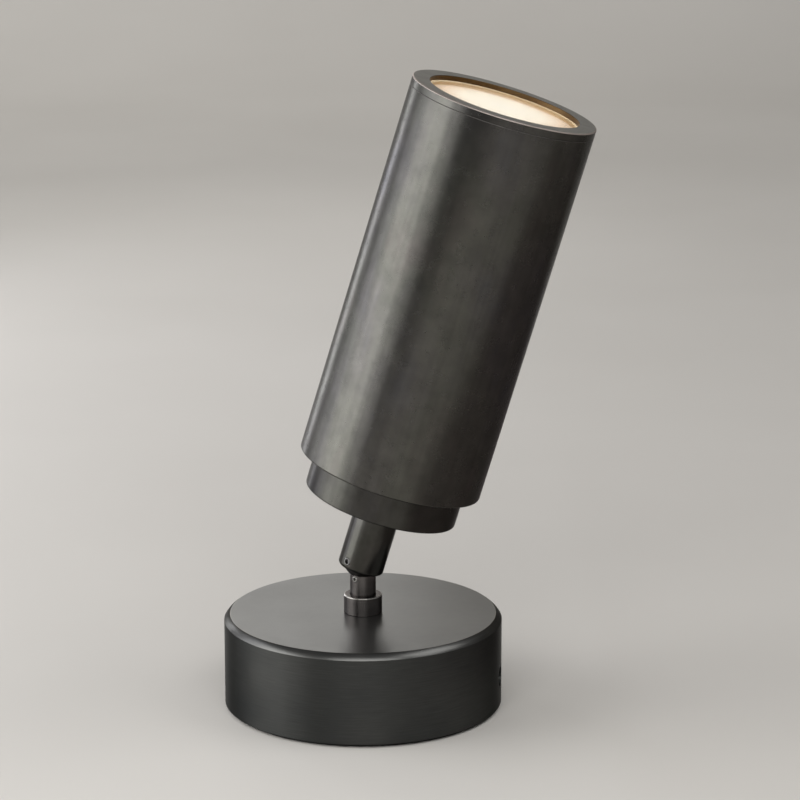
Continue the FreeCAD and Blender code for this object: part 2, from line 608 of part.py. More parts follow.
disc_spring = turned("disc_spring", [
    ("disc_inner", "disc_rise"), ("disc_outer", "0"), ("disc_outer", "disc_thick"),
    ("disc_inner", "disc_rise + disc_thick")])
disc_pitch = size["disc_rise"] + size["disc_thick"]
disc_spots = []
for pair in range(2):
    low = size["ball_seat_top"] + 2 * pair * disc_pitch
    disc_spots.append(Placement(Vector(0, 0, low), Rotation()))
    disc_spots.append(Placement(Vector(0, 0, low + 2 * disc_pitch), Rotation(Vector(1, 0, 0), 180)))
group("seat_springs", disc_spring, disc_spots)
pieces["knuckle_nipple"] = turned("knuckle_nipple", [
    ("nipple_bore", "nipple_low"), ("nipple_plug", "nipple_low"), ("nipple_plug", "cap_low"),
    ("nipple_stud", "cap_low"), ("nipple_stud", "nipple_top"), ("nipple_bore", "nipple_top")])

# Rear cap, held on the knuckle by the nipple's nut
rear_cap = turned("rear_cap", [
    ("cap_hole", "cap_low"), ("cap_radius", "cap_low"), ("cap_radius", "tube_low"),
    ("cap_spigot", "tube_low"), ("cap_spigot", "cap_top"), ("cap_inner", "cap_top"),
    ("cap_inner", "cap_floor"), ("cap_hole", "cap_floor")])
soften(rear_cap, "Fillet", "Radius", "edge_round", "cap_radius", "cap_low")
pieces["rear_cap"] = rear_cap
nipple_nut = new_body("nipple_nut")
primitive(nipple_nut, "AdditivePrism", {"Circumradius": "9.24", "Height": "cap_nut_top - cap_floor"},
          Vector(0, 0, size["cap_floor"]))
primitive(nipple_nut, "SubtractiveCylinder", {"Radius": "nipple_stud + 0.02", "Height": "6"},
          Vector(0, 0, size["cap_floor"] - 1))
pieces["nipple_nut"] = nipple_nut

# Head tube with a closed rear wall, a ledge for the heat sink and a bevel at the seam
head_tube = turned("head_tube", [
    ("tube_hole", "tube_low"), ("tube_radius", "tube_low"),
    ("tube_radius", "seam_height - seam_bevel"), ("tube_radius - seam_bevel", "seam_height"),
    ("tube_inner", "seam_height"), ("tube_inner", "ledge_top"), ("ledge_inner", "ledge_top"),
    ("ledge_inner", "ledge_low"), ("tube_inner", "ledge_low"), ("tube_inner", "tube_floor"),
    ("tube_hole", "tube_floor")])
soften(head_tube, "Fillet", "Radius", "edge_round", "tube_radius", "tube_low")
SINK_ANGLES = (15, 135, 255)
for angle in SINK_ANGLES:
    primitive(head_tube, "SubtractiveCylinder",
              {"Radius": "sink_screw_radius", "Height": "ledge_top - sink_screw_low + 0.5"},
              around(size["sink_screw_circle"], angle, size["sink_screw_low"] - 0.5))
pieces["head_tube"] = head_tube

# Heat sink: plate on the ledge, core, and radial fins
heat_sink = turned("heat_sink", [
    ("sink_bore", "ledge_top"), ("sink_plate_radius", "ledge_top"), ("sink_plate_radius", "sink_plate_top"),
    ("sink_core", "sink_plate_top"), ("sink_core", "sink_core_top"), ("sink_bore", "sink_core_top")])
fin_sketch = closed_sketch(heat_sink, "XZ_Plane", [
    ("sink_core - 1", "sink_plate_top - 0.5"), ("fin_reach", "sink_plate_top - 0.5"),
    ("fin_reach", "fin_top - 3"), ("fin_reach - 3", "fin_top"), ("sink_core - 1", "fin_top")])
fin = heat_sink.newObject("PartDesign::Pad", "fin")
fin.Profile = fin_sketch
fin.Length = size["fin_thick"]
fin.setExpression("Length", "dims.fin_thick")
fin.Midplane = True
doc.recompute()
fins = heat_sink.newObject("PartDesign::PolarPattern", "fins")
fins.Originals = [fin]
vertical = [item for item in heat_sink.Origin.OriginFeatures if item.Role == "Z_Axis"][0]
fins.Axis = (vertical, [""])
fins.Angle = 360
fins.Occurrences = FIN_COUNT
heat_sink.Tip = fins
doc.recompute()
for angle in SINK_ANGLES:
    primitive(heat_sink, "SubtractiveCylinder",
              {"Radius": "sink_screw_radius + 0.1", "Height": "sink_plate_top - ledge_top + 2"},
              around(size["sink_screw_circle"], angle, size["ledge_top"] - 1))
for angle in (90, 270):
    primitive(heat_sink, "SubtractiveCylinder",
              {"Radius": "board_screw_radius", "Height": "sink_core_top - board_screw_low + 0.5"},
              around(size["board_screw_circle"], angle, size["board_screw_low"] - 0.5))
pieces["heat_sink"] = heat_sink
sink_screw = turned("heat_sink_screw", [
    ("0", "sink_screw_low"), ("sink_screw_radius", "sink_screw_low"), ("sink_screw_radius", "sink_plate_top"),
    ("sink_screw_head", "sink_plate_top"), ("sink_screw_head", "sink_screw_top"), ("0", "sink_screw_top")])
hex_socket(sink_screw, "1.3", "1.4", Vector(0, 0, size["sink_screw_top"] - 1.4), UP)
group("heat_sink_screws", sink_screw,
      [Placement(around(size["sink_screw_circle"], angle, 0.0), Rotation()) for angle in SINK_ANGLES])

# Light source on its board
board = turned("led_board", [
    ("0", "sink_core_top"), ("board_radius", "sink_core_top"), ("board_radius", "board_top"), ("0", "board_top")])
for angle in (90, 270):
    primitive(board, "SubtractiveCylinder", {"Radius": "board_screw_radius + 0.1", "Height": "4"},
              around(size["board_screw_circle"], angle, size["sink_core_top"] - 1))
pieces["led_board"] = board
board_screw = turned("board_screw", [
    ("0", "board_screw_low"), ("board_screw_radius", "board_screw_low"), ("board_screw_radius", "board_top"),
    ("board_screw_head", "board_top"), ("board_screw_head", "board_screw_top"), ("0", "board_screw_top")])
hex_socket(board_screw, "1", "0.9", Vector(0, 0, size["board_screw_top"] - 0.9), UP)
group("board_screws", board_screw,
      [Placement(around(size["board_screw_circle"], angle, 0.0), Rotation()) for angle in (90, 270)])
pieces["led_emitter"] = turned("led_emitter", [
    ("0", "board_top"), ("emitter_radius", "board_top"), ("emitter_radius", "emitter_top - 0.5"),
    ("emitter_radius - 0.5", "emitter_top"), ("0", "emitter_top")])

# Reflector: a parabola turned about the head's axis, with a flat rim
reflector_top = size["gasket_low"]
drop = reflector_top - size["reflector_low"]
steep = (size["reflector_mouth"] ** 2 - size["reflector_neck"] ** 2) / drop
focus_low = size["reflector_low"] - size["reflector_neck"] ** 2 / steep
inner_side = []
outer_side = []
for step in range(25):
    height = size["reflector_low"] + drop * (step / 24.0) ** 1.5
    inner_side.append(Vector(math.sqrt(steep * (height - focus_low)), 0, height))
for point in inner_side:
    if point.z < size["reflector_rim_low"] - 0.01:
        outer_side.append(Vector(point.x + size["reflector_wall"], 0, point.z))
rim_radius = math.sqrt(steep * (size["reflector_rim_low"] - focus_low)) + size["reflector_wall"]
outer_side.append(Vector(rim_radius, 0, size["reflector_rim_low"]))
rim = [Vector(size["lens_radius"], 0, size["reflector_rim_low"]), Vector(size["lens_radius"], 0, reflector_top)]
inner_curve = Part.BSplineCurve()
inner_curve.interpolate(inner_side)
outer_curve = Part.BSplineCurve()
outer_curve.interpolate(outer_side)
section = Part.Wire([
    inner_curve.toShape(),
    Part.makeLine(inner_side[-1], rim[1]),
    Part.makeLine(rim[1], rim[0]),
    Part.makeLine(rim[0], outer_side[-1]),
    outer_curve.toShape(),
    Part.makeLine(outer_side[0], inner_side[0]),
])
reflector = doc.addObject("Part::Feature", "reflector")
reflector.Shape = Part.Face(section).revolve(Vector(0, 0, 0), UP, 360)
reflector.Label = "reflector"
pieces["reflector"] = reflector

# Front stack behind the ring's lip, then the ring
pieces["retaining_ring"] = turned("retaining_ring", [
    ("retaining_inner", "retaining_low"), ("retaining_outer", "retaining_low"),
    ("retaining_outer", "reflector_rim_low"), ("retaining_inner", "reflector_rim_low")])
pieces["lens_gasket"] = turned("lens_gasket", [
    ("gasket_inner", "gasket_low"), ("lens_radius", "gasket_low"),
    ("lens_radius", "diffuser_low"), ("gasket_inner", "diffuser_low")])
pieces["diffuser"] = turned("diffuser", [
    ("0", "diffuser_low"), ("lens_radius", "diffuser_low"), ("lens_radius", "lens_low"), ("0", "lens_low")])
pieces["lens_glass"] = turned("lens_glass", [
    ("0", "lens_low"), ("lens_radius", "lens_low"), ("lens_radius", "ring_lip_low"), ("0", "ring_lip_low")])
pieces["front_ring"] = turned("front_ring", [
    ("ring_hole", "ring_lip_low"), ("ring_hole", "front_height - hole_bevel"),
    ("ring_hole + hole_bevel", "front_height"), ("tube_radius - ring_bevel", "front_height"),
    ("tube_radius", "front_height - ring_bevel"), ("tube_radius", "seam_height + seam_bevel"),
    ("tube_radius - seam_bevel", "seam_height"), ("ring_thread", "seam_height"), ("ring_thread", "ring_low"),
    ("ring_inner", "ring_low"), ("ring_inner", "ring_lip_low")])

for name in ("knuckle", "ball_seat", "seat_springs", "knuckle_nipple", "rear_cap", "nipple_nut", "head_tube",
             "heat_sink", "heat_sink_screws", "led_board", "board_screws", "led_emitter", "reflector",
             "retaining_ring", "lens_gasket", "diffuser", "lens_glass", "front_ring"):
    lean(pieces[name])

doc.recompute()
for item in doc.Objects:
    if "Invalid" in item.State or "Error" in item.State:
        raise RuntimeError("%s: %s" % (item.Label, item.State))
for name, item in pieces.items():
    if item.Shape.isNull() or not item.Shape.isValid() or not item.Shape.Solids:
        raise RuntimeError("%s has no valid solid" % name)

os.makedirs("parts", exist_ok=True)
for name, item in pieces.items():
    item.Shape.exportStep("parts/%s.step" % name)
print(len(pieces), "pieces written")
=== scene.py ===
import math

import bmesh
import bpy
from mathutils import Matrix, Vector


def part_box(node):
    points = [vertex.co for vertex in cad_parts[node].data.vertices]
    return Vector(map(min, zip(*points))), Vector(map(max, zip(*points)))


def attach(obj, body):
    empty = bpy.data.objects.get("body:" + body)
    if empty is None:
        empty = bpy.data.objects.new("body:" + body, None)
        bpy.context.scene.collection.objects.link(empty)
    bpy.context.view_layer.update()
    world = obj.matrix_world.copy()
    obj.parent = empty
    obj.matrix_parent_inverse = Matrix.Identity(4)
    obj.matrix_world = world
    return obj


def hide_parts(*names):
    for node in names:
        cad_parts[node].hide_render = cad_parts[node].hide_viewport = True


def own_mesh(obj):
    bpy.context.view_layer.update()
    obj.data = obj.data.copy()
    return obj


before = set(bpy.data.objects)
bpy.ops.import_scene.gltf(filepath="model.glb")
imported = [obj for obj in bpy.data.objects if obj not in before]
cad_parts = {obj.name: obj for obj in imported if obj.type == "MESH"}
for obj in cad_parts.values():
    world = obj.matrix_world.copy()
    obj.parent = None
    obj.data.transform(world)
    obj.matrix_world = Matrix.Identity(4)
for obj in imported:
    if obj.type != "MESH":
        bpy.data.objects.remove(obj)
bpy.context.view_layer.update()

# The camera stands in front of the lamp and looks slightly down on the base's top face.
# Its place and lens come from the outlines of the base, the swivel and the head.
CAMERA_PLACE = (0.01204, -1.32745, 0.46286)
CAMERA_DIP = 0.2465
CAMERA_TURN = -0.0024
camera = bpy.data.objects.new("camera", bpy.data.cameras.new("camera"))
bpy.context.scene.collection.objects.link(camera)
bpy.context.scene.camera = camera
camera.location = CAMERA_PLACE
camera.rotation_euler = (math.pi / 2 - CAMERA_DIP, 0.0, CAMERA_TURN)
camera.data.sensor_width = 36.0
camera.data.lens = 151.9
camera.data.clip_start = 0.01
camera.data.clip_end = 20.0

# Studio: a pale sheet that is the floor and sweeps up behind, and soft panels. The wide ones on
# the left draw the broad highlight along the round metal, the slim one behind a fine bright line.
SWEEP_HALF_WIDTH = 6.0
SWEEP_FRONT = -6.0
SWEEP_BACK = 1.6
SWEEP_RADIUS = 0.7
SWEEP_TOP = 2.6
SWEEP_STEPS = 16
SURROUND_COLOUR = (0.99, 0.99, 1.0)
SURROUND_LEVEL = 0.20
NOISE_LOW = 0.3
NOISE_HIGH = 0.7
bpy.context.scene.view_settings.view_transform = "Standard"


def new_material(name, colour=(0.8, 0.8, 0.8), roughness=0.5, metallic=0.0):
    """A material whose shader has these even values; returns its nodes, links and shader too."""
    material = bpy.data.materials.new(name)
    material.use_nodes = True
    nodes = material.node_tree.nodes
    shader = nodes["Principled BSDF"]
    shader.inputs["Base Color"].default_value = (*colour, 1.0)
    shader.inputs["Roughness"].default_value = roughness
    shader.inputs["Metallic"].default_value = metallic
    material.diffuse_color = (*colour, 1.0)
    return material, nodes, material.node_tree.links, shader


def noise(nodes, links, scale, detail, stretch=(1, 1, 1), grit=0.5):
    """Noise over the piece's own coordinates, finer along an axis with a larger stretch; grit is
    its share of fine grain. Most of its values lie between NOISE_LOW and NOISE_HIGH."""
    place = nodes.new("ShaderNodeTexCoord")
    mapping = nodes.new("ShaderNodeMapping")
    mapping.inputs["Scale"].default_value = stretch
    texture = nodes.new("ShaderNodeTexNoise")
    texture.inputs["Scale"].default_value = scale
    texture.inputs["Detail"].default_value = detail
    texture.inputs["Roughness"].default_value = grit
    links.new(place.outputs["Object"], mapping.inputs["Vector"])
    links.new(mapping.outputs["Vector"], texture.inputs["Vector"])
    return texture.outputs["Fac"]


def ramp(nodes, links, source, stops):
    """Turns a grey value into colours: stops are (place, colour)."""
    node = nodes.new("ShaderNodeValToRGB")
    while len(node.color_ramp.elements) < len(stops):
        node.color_ramp.elements.new(0.5)
    for element, (place, colour) in zip(node.color_ramp.elements, stops):
        element.position = place
        element.color = (*colour, 1.0)
    links.new(source, node.inputs["Fac"])
    return node.outputs["Color"]


def mottle(nodes, links, source, dark, light):
    """Turns a noise into colours that run from dark to light."""
    return ramp(nodes, links, source, [(NOISE_LOW, dark), (NOISE_HIGH, light)])


def spread(nodes, links, source, low, high, source_low=NOISE_LOW, source_high=NOISE_HIGH):
    """Stretches a grey value, by default a noise, to run from low to high."""
    node = nodes.new("ShaderNodeMapRange")
    node.inputs["From Min"].default_value = source_low
    node.inputs["From Max"].default_value = source_high
    node.inputs["To Min"].default_value = low
    node.inputs["To Max"].default_value = high
    links.new(source, node.inputs["Value"])
    return node.outputs["Result"]


def board(name, colour, dark, light, roughness, scale, detail):
    """Paper or card: one matt colour, slightly uneven from its fibres."""
    material, nodes, links, shader = new_material(name, colour, roughness)
    fibres = noise(nodes, links, scale, detail)
    links.new(mottle(nodes, links, fibres, dark, light), shader.inputs["Base Color"])
    return material


sweep_line = [(SWEEP_FRONT, 0.0)]
for step in range(SWEEP_STEPS + 1):
    turn = math.radians(90.0 * step / SWEEP_STEPS)
    sweep_line.append((SWEEP_BACK + SWEEP_RADIUS * math.sin(turn), SWEEP_RADIUS * (1 - math.cos(turn))))
sweep_line.append((SWEEP_BACK + SWEEP_RADIUS, SWEEP_TOP))
sweep_mesh = bpy.data.meshes.new("sweep")
sweep_mesh.from_pydata(
    [(x, y, z) for y, z in sweep_line for x in (-SWEEP_HALF_WIDTH, SWEEP_HALF_WIDTH)], [],
    [(2 * i, 2 * i + 1, 2 * i + 3, 2 * i + 2) for i in range(len(sweep_line) - 1)])
sweep_mesh.shade_smooth()
sweep = bpy.data.objects.new("sweep", sweep_mesh)
bpy.context.scene.collection.objects.link(sweep)
sweep_mesh.materials.append(board("paper", (0.64, 0.615, 0.575), dark=(0.62, 0.595, 0.555),
                                  light=(0.66, 0.635, 0.595), roughness=0.85, scale=3.0, detail=3.0))

world = bpy.data.worlds.new("surround")
bpy.context.scene.world = world
world.use_nodes = True
world.node_tree.nodes["Background"].inputs["Color"].default_value = (*SURROUND_COLOUR, 1.0)
world.node_tree.nodes["Background"].inputs["Strength"].default_value = SURROUND_LEVEL

# Soft panels: each is a rectangle of even light. The first five stand on the floor, on the left
# round to the back. The others hang: three face the lamp, one the floor and one the backdrop.
PANEL_LIFT = 0.005
AIM_ASIDE = 0.03
AIM_HEIGHT = 0.12
COOL_LIGHT = (0.96, 0.97, 1.03)
DOWN_TO_FLOOR = (0.0, -0.1, -1.0)
BACK_TO_SWEEP = (-0.1, 1.0, -0.75)


def face_panel(panel, way):
    """Turns a panel so that it shines this way."""
    panel.rotation_euler = Vector(way).to_track_quat("-Z", "Y").to_euler()


def soft_panel(name, azimuth, distance, width, height, radiance, middle=None):
    """A panel at an azimuth left (-) or right (+) of the camera's side. It stands upright on the
    floor or, given the height of its middle, hangs there; both face the lamp."""
    light = bpy.data.lights.new(name, "AREA")
    light.shape = "RECTANGLE"
    light.size = width
    light.size_y = height
    light.energy = radiance * math.pi * width * height
    panel = bpy.data.objects.new(name, light)
    bpy.context.scene.collection.objects.link(panel)
    panel.visible_camera = False
    angle = math.radians(azimuth)
    level = height / 2 + PANEL_LIFT if middle is None else middle
    panel.location = (distance * math.sin(angle), -distance * math.cos(angle), level)
    face_panel(panel, Vector((AIM_ASIDE, 0.0, level if middle is None else AIM_HEIGHT)) - panel.location)
    return panel


soft_panel("key_panel", -81.0, 0.95, 0.64, 0.9, radiance=3.6)
soft_panel("key_border", -54.0, 0.95, 0.26, 0.9, radiance=1.5)
cool_panels = [soft_panel("side_panel", -109.0, 0.95, 0.30, 0.9, radiance=2.4),
               soft_panel("rear_panel", -126.0, 0.95, 0.27, 0.9, radiance=0.9),
               soft_panel("edge_strip", -142.0, 0.95, 0.17, 0.38, radiance=7.8)]
for panel in cool_panels:
    panel.data.color = COOL_LIGHT
soft_panel("back_panel", -171.0, 1.1, 0.40, 0.42, radiance=1.05, middle=0.46)
soft_panel("front_panel", 2.0, 0.95, 1.1, 0.5, radiance=2.8, middle=0.98)
soft_panel("right_panel", 78.0, 0.85, 0.9, 0.6, radiance=2.4, middle=1.1)
floor_panel = soft_panel("floor_panel", -8.0, 1.0, 0.8, 0.5, radiance=3.2, middle=0.55)
face_panel(floor_panel, DOWN_TO_FLOOR)
backdrop_panel = soft_panel("backdrop_panel", -150.0, 1.5, 1.6, 0.6, radiance=5.4, middle=1.7)
face_panel(backdrop_panel, BACK_TO_SWEEP)

# Dark card: a warm grey card that lies on the floor to the right. It is seen only in the metal, as
# a painted dark reflection that keeps that side of the lamp darker than the pale sheet would.
CARD_LEFT = 0.10
CARD_RIGHT = 0.60
CARD_FRONT = -0.22
CARD_BACK = 0.40
CARD_HEIGHT = 0.002
card_mesh = bpy.data.meshes.new("dark_card_painted_reflection")
card_mesh.from_pydata([(CARD_LEFT, CARD_FRONT, CARD_HEIGHT), (CARD_RIGHT, CARD_FRONT, CARD_HEIGHT),
                       (CARD_RIGHT, CARD_BACK, CARD_HEIGHT), (CARD_LEFT, CARD_BACK, CARD_HEIGHT)],
                      [], [(0, 1, 2, 3)])
dark_card_painted_reflection = bpy.data.objects.new("dark_card_painted_reflection", card_mesh)
bpy.context.scene.collection.objects.link(dark_card_painted_reflection)
dark_card_painted_reflection.visible_camera = False
dark_card_painted_reflection.visible_shadow = False
dark_card_painted_reflection.visible_diffuse = False
card_mesh.materials.append(board("card_board_painted_reflection", (0.28, 0.243, 0.233), dark=(0.27, 0.233, 0.223),
                                 light=(0.29, 0.253, 0.243), roughness=0.9, scale=40.0, detail=2.0))

# Base shell: the heavy round foot, turned from steel, brushed around its side and satin on top,
# with a softly crowned bevel. Its one steel is coloured three ways: the side much darker, as painted
# shade, the top lighter, as painted light, and the bevel between, as a painted highlight. The cord
# hole is drilled low on the right, a rear flat takes the switch.
# Sizes are in millimetres from here on, and MM turns them into metres.
MM = 0.001
BASE_RADIUS = 57.15
BASE_HEIGHT = 39.1
BASE_THICKNESS = 5.0
WALL_FOOT = 1.2
FOOT_CHAMFER = 0.5
FOOT_ROUNDING = 0.2
DRILLED_FROM = 4.8
DRILLED_TO = 22.4
BEVEL_MIDDLE = (51.235, 33.185)
BEVEL_CROWN = 6.83
BEVEL_ROUNDING = 0.35
BEVEL_FOOT = 36.4
COLLAR_HOLE_RADIUS = 6.55
INLET_AZIMUTH = -9
INLET_HEIGHT = 14.0
INLET_RADIUS = 4.2
SWITCH_HEIGHT = 13.5
SWITCH_HOLE_RADIUS = 6.05
SWITCH_FLAT_RADIUS = 8.3
SWITCH_FLAT_PLACE = 56.3
FLAT_CUT_LENGTH = 6
WALL_DRILL_START = 45
WALL_DRILL_LENGTH = 20
TOP_PAINTED_LIGHT_FINISH = 2
BEVEL_PAINTED_HIGHLIGHT_FINISH = 3
DEGREES_A_FACET = 18
SHARP_ANGLE = math.radians(32)
CLOUD_LOW = 0.32
CLOUD_HIGH = 0.68
LINE_DARK = (0.4, 0.4, 0.4)
LINE_LIGHT = (1.5, 1.5, 1.5)


def settle(piece):
    """Puts the result of the piece's modifiers into its mesh."""
    graph = bpy.context.evaluated_depsgraph_get()
    graph.update()
    made = bpy.data.meshes.new_from_object(piece.evaluated_get(graph))
    piece.modifiers.clear()
    piece.data = made


def bend(middle, radius, start, end, steps=6):
    """Points along an arc, its angles in degrees from straight outwards towards up."""
    points = []
    for step in range(steps + 1):
        angle = math.radians(start + (end - start) * step / steps)
        points.append((middle[0] + radius * math.cos(angle), middle[1] + radius * math.sin(angle)))
    return points


def rounded(corners):
    """The outline with each corner's rounding drawn in, and for each stretch whether it is rubbed bright
    with a painted highlight.
    """
    outline = []
    rubbed_and_highlit = []
    for i, corner in enumerate(corners):
        spot = Vector(corner[:2])
        if len(corner) == 2:
            outline.append(spot)
            rubbed_and_highlit.append(False)
            continue
        back = (Vector(corners[i - 1][:2]) - spot).normalized()
        ahead = (Vector(corners[(i + 1) % len(corners)][:2]) - spot).normalized()
        half = back.angle(ahead) / 2
        middle = spot + (back + ahead).normalized() * corner[2] / math.sin(half)
        start = spot + back * corner[2] / math.tan(half) - middle
        end = spot + ahead * corner[2] / math.tan(half) - middle
        sweep_angle = start.angle_signed(end)
        steps = max(2, round(abs(math.degrees(sweep_angle)) / DEGREES_A_FACET))
        for step in range(steps + 1):
            outline.append(middle + Matrix.Rotation(-sweep_angle * step / steps, 2) @ start)
            rubbed_and_highlit.append(len(corner) == 4 and step < steps)
    return outline, rubbed_and_highlit


def turned(name, corners, segments=256):
    """A round piece from half its section: corners are (radius, height) in millimetres, then any
    rounding, then a fourth mark where that rounding is worn bright and carries a painted highlight
    (the piece's second finish)."""
    outline, rubbed_and_highlit = rounded(corners)
    work = bmesh.new()
    rings = []
    for radius, height in outline:
        count = segments if radius > 1e-6 else 1
        rings.append([work.verts.new((radius * MM * math.cos(2 * math.pi * i / segments),
                                      radius * MM * math.sin(2 * math.pi * i / segments), height * MM))
                      for i in range(count)])
    for low, high, bright in zip(rings, rings[1:] + rings[:1], rubbed_and_highlit):
        if len(low) == 1 and len(high) == 1:
            continue
        for i in range(segments):
            j = (i + 1) % segments
            loop = [low[0]] if len(low) == 1 else [low[i], low[j]]
            loop += [high[0]] if len(high) == 1 else [high[j], high[i]]
            work.faces.new(loop).material_index = int(bright)
    bmesh.ops.recalc_face_normals(work, faces=work.faces)
    mesh = bpy.data.meshes.new(name)
    work.to_mesh(mesh)
    work.free()
    piece = bpy.data.objects.new(name, mesh)
    bpy.context.scene.collection.objects.link(piece)
    return piece


def coat(piece, *finishes):
    """Gives a turned piece its finishes: all over, then rubbed roundings with painted highlights,
    then any others.
    """
    for finish in finishes:
        piece.data.materials.append(finish)


def towards(azimuth):
    """The level direction at an azimuth in degrees, anticlockwise from the right."""
    return math.cos(math.radians(azimuth)), math.sin(math.radians(azimuth)), 0.0


def cut(piece, start, way, radius, length):
    """Drills a round hole, sizes in millimetres."""
    drill = turned("drill", [(0, 0), (radius, 0), (radius, length), (0, length)], segments=64)
    lie = Vector(way).normalized().to_track_quat("Z", "Y").to_matrix().to_4x4()
    drill.matrix_world = Matrix.Translation(Vector(start) * MM) @ lie
    bpy.context.view_layer.update()
    hole = piece.modifiers.new("hole", "BOOLEAN")
    hole.operation = "DIFFERENCE"
    hole.object = drill
    hole.solver = "EXACT"
    settle(piece)
    bpy.data.objects.remove(drill)


def smooth(piece):
    """Smooth shading that keeps flats flat and unrounded corners crisp."""
    piece.data.shade_smooth()
    piece.data.set_sharp_from_angle(angle=SHARP_ANGLE)
    normals = piece.modifiers.new("normals", "WEIGHTED_NORMAL")
    normals.keep_sharp = True
    settle(piece)


def on_top(face, height):
    """Whether a face is level, looks up and lies at this height in millimetres or above it."""
    return face.normal.z > 0.999 and face.center.z > (height - 0.1) * MM


def roughen(nodes, links, shader, source, depth):
    """Fine bumps of about this depth, in metres, from a noise."""
    bump = nodes.new("ShaderNodeBump")
    bump.inputs["Distance"].default_value = depth
    bump.inputs["Strength"].default_value = 0.3
    links.new(source, bump.inputs["Height"])
    links.new(bump.outputs["Normal"], shader.inputs["Normal"])


def tinted(nodes, links, colour, tint_colour, share, shader):
    """Gives the shader's base colour: one colour, multiplied by another as far as share says."""
    tone = nodes.new("ShaderNodeMix")
    tone.data_type = "RGBA"
    tone.blend_type = "MULTIPLY"
    tone.inputs["Factor"].default_value = share
    links.new(colour, tone.inputs["A"])
    links.new(tint_colour, tone.inputs["B"])
    links.new(tone.outputs["Result"], shader.inputs["Base Color"])


def metal(name, dark, light, roughness, cloud=60.0, stretch=(60, 60, 60), grain=0.2, tint=1.0,
          brushed=0.0, bump_height=0.00001, grit=0.5):
    """Finished metal: clouds of colour and gloss, and fine lines from turning or brushing. Cloud
    and stretch say how fine they are, grain how much the lines show, and tint how much the metal
    brightens where it is seen at a low angle."""
    material, nodes, links, shader = new_material(name, light, sum(roughness) / 2, 1.0)
    clouds = noise(nodes, links, cloud, detail=7.0, grit=grit)
    lines = noise(nodes, links, 1.0, detail=4.0, stretch=stretch)
    roughen(nodes, links, shader, lines, bump_height)
    cloud_colour = ramp(nodes, links, clouds, [(CLOUD_LOW, dark), (CLOUD_HIGH, light)])
    line_colour = mottle(nodes, links, lines, LINE_DARK, LINE_LIGHT)
    tinted(nodes, links, cloud_colour, line_colour, grain, shader)
    gloss = noise(nodes, links, cloud * 1.7, detail=6.0, grit=grit)
    links.new(spread(nodes, links, gloss, *roughness), shader.inputs["Roughness"])
    shader.inputs["Specular Tint"].default_value = (tint, tint, tint, 1.0)
    shader.inputs["Anisotropic"].default_value = brushed
    shader.inputs["Anisotropic Rotation"].default_value = 0.25
    return material


# Painted light on one steel: the side is coloured far darker than the top and the bevel.
brushed_side_painted_shade = metal("brushed_side_painted_shade", (0.052, 0.054, 0.053), (0.068, 0.069, 0.066), (0.34, 0.40),
                     cloud=30.0, stretch=(90, 90, 3600), grain=0.22, tint=0.4, brushed=0.8)
satin_bevel_painted_highlight = metal("satin_bevel_painted_highlight", (0.098, 0.098, 0.094), (0.118, 0.117, 0.112), (0.27, 0.33),
                    cloud=60.0, stretch=(90, 90, 3600), grain=0.12, tint=0.35)
# Rubbed edges: worn bright, and brighter still as a painted highlight.
worn_edge_and_highlight = metal("worn_edge_and_highlight", (0.30, 0.29, 0.27), (0.36, 0.345, 0.325), (0.28, 0.36), cloud=160.0)
satin_top_painted_light = metal("satin_top_painted_light", (0.24, 0.24, 0.235), (0.27, 0.27, 0.265), (0.30, 0.34),
                  cloud=22.0, stretch=(300, 300, 300), grain=0.04, tint=0.62)
crowned_bevel = bend(BEVEL_MIDDLE, BEVEL_CROWN, 30, 60)
inside_radius = BASE_RADIUS - BASE_THICKNESS
inside_height = BASE_HEIGHT - BASE_THICKNESS
base_corners = [
    (COLLAR_HOLE_RADIUS, BASE_HEIGHT), (COLLAR_HOLE_RADIUS, inside_height),
    (inside_radius, inside_height), (inside_radius, DRILLED_TO), (inside_radius, DRILLED_FROM),
    (inside_radius, WALL_FOOT), (BASE_RADIUS - FOOT_CHAMFER, WALL_FOOT, FOOT_ROUNDING),
    (BASE_RADIUS, WALL_FOOT + FOOT_CHAMFER, FOOT_ROUNDING), (BASE_RADIUS, DRILLED_FROM),
    (BASE_RADIUS, DRILLED_TO), (*crowned_bevel[0], BEVEL_ROUNDING), *crowned_bevel[1:-1],
    (*crowned_bevel[-1], BEVEL_ROUNDING, "rubbed_and_highlit")]
base_shell = turned("base_shell_turned", base_corners, segments=320)
coat(base_shell, brushed_side_painted_shade, worn_edge_and_highlight, satin_top_painted_light, satin_bevel_painted_highlight)
for face in base_shell.data.polygons:
    if on_top(face, BASE_HEIGHT):
        face.material_index = TOP_PAINTED_LIGHT_FINISH
    elif face.center.z > BEVEL_FOOT * MM and 0.4 < face.normal.z < 0.95 and face.material_index == 0:
        face.material_index = BEVEL_PAINTED_HIGHLIGHT_FINISH
inlet_way = towards(INLET_AZIMUTH)
cut(base_shell, (WALL_DRILL_START * inlet_way[0], WALL_DRILL_START * inlet_way[1], INLET_HEIGHT),
    inlet_way, INLET_RADIUS, WALL_DRILL_LENGTH)
cut(base_shell, (0, WALL_DRILL_START, SWITCH_HEIGHT), (0, 1, 0), SWITCH_HOLE_RADIUS, WALL_DRILL_LENGTH)
cut(base_shell, (0, SWITCH_FLAT_PLACE, SWITCH_HEIGHT), (0, 1, 0), SWITCH_FLAT_RADIUS, FLAT_CUT_LENGTH)
smooth(base_shell)
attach(base_shell, "base")
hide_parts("base_shell")

# Foot pad, closing plate and their screws: a thin rubber disc set in from the base's side, stuck
# to a black painted steel plate that four countersunk screws hold from below.
MOULDED_DEPTH = 0.00002


def dress(node, material):
    """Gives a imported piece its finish."""
    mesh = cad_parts[node].data
    mesh.materials.clear()
    mesh.materials.append(material)


